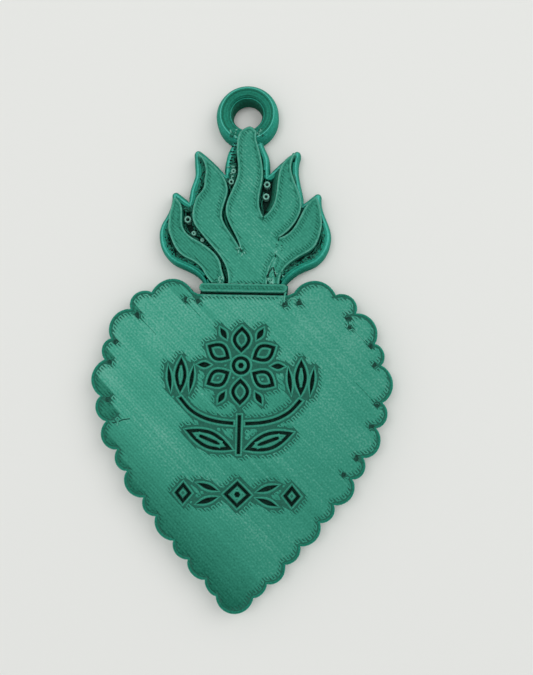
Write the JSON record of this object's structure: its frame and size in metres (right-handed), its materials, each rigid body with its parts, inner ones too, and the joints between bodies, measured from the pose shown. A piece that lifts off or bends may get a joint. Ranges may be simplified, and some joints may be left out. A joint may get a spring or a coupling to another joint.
{
  "type": "heart charm with flame crown",
  "caption": "Flat votive heart charm with a scalloped edge, a collar, a crown of flame tongues and a ring to hang it by.",
  "frame": {"origin": "middle of the charm's box, on the flat back that it lies on", "axes": "+X to the right as seen from the front, +Y towards the hanging ring, +Z out of the front face"},
  "size_m": [0.0446, 0.0792, 0.0034],
  "materials": {
    "green_print": "satin"
  },
  "bodies": {
    "root": {"heart_plate": "green_print", "collar_bar": "green_print", "flame_tray": "green_print", "tongue_centre": "green_print", "tongue_left_inner": "green_print", "tongue_left_outer": "green_print", "tongue_right_inner": "green_print", "tongue_right_outer": "green_print", "hanging_ring": "green_print", "valley_posts": "green_print"}
  },
  "joints": []
}
